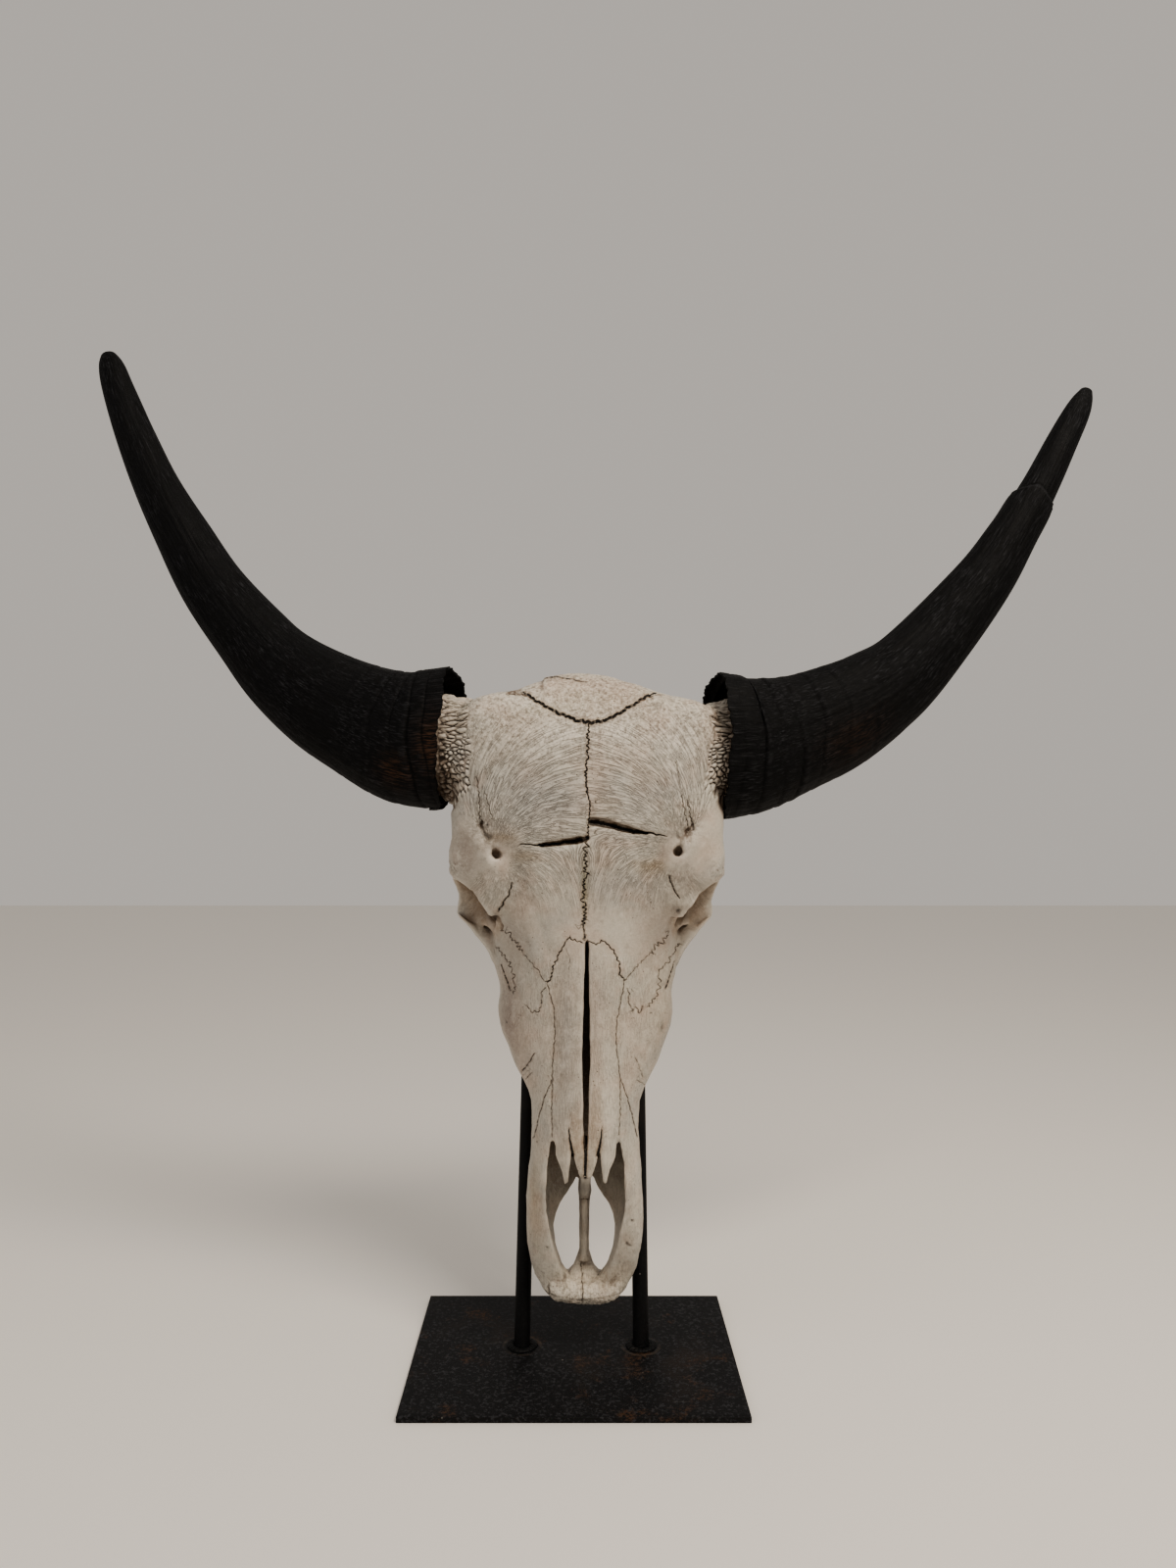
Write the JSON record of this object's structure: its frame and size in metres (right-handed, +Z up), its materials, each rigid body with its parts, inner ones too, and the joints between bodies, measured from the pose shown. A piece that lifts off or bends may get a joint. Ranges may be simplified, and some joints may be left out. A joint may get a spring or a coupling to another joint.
{
  "type": "mounted water buffalo skull",
  "caption": "Water buffalo skull hung nose down with two wide upswept black horn sheaths, carried by two leaning steel rods on a flat rectangular steel plate.",
  "frame": {"origin": "middle of the base plate's underside, on the surface that the stand rests on", "axes": "+Z up, the skull's face looks along -Y, +X is to the right of someone who looks at the face"},
  "size_m": [0.9225, 0.2319, 0.9073],
  "materials": {
    "bone": "dry weathered bone, matt, with sutures, cracks and brown dirt in the hollows",
    "horn": "black keratin, matt to satin, fibrous, with growth rings near the base",
    "tooth": "yellowed enamel, semi-gloss",
    "blackened_steel": "black mill scale and wax, with small rust brown marks and scratches"
  },
  "bodies": {
    "root": {"base_plate": "blackened_steel", "rod_left": "blackened_steel", "rod_right": "blackened_steel", "skull": "bone", "horn_sheath_left": "horn", "horn_sheath_right": "horn", "premolar_1_left": "tooth", "premolar_2_left": "tooth", "premolar_3_left": "tooth", "molar_1_left": "tooth", "molar_2_left": "tooth", "molar_3_left": "tooth", "premolar_1_right": "tooth", "premolar_2_right": "tooth", "premolar_3_right": "tooth", "molar_1_right": "tooth", "molar_2_right": "tooth", "molar_3_right": "tooth"}
  },
  "joints": []
}
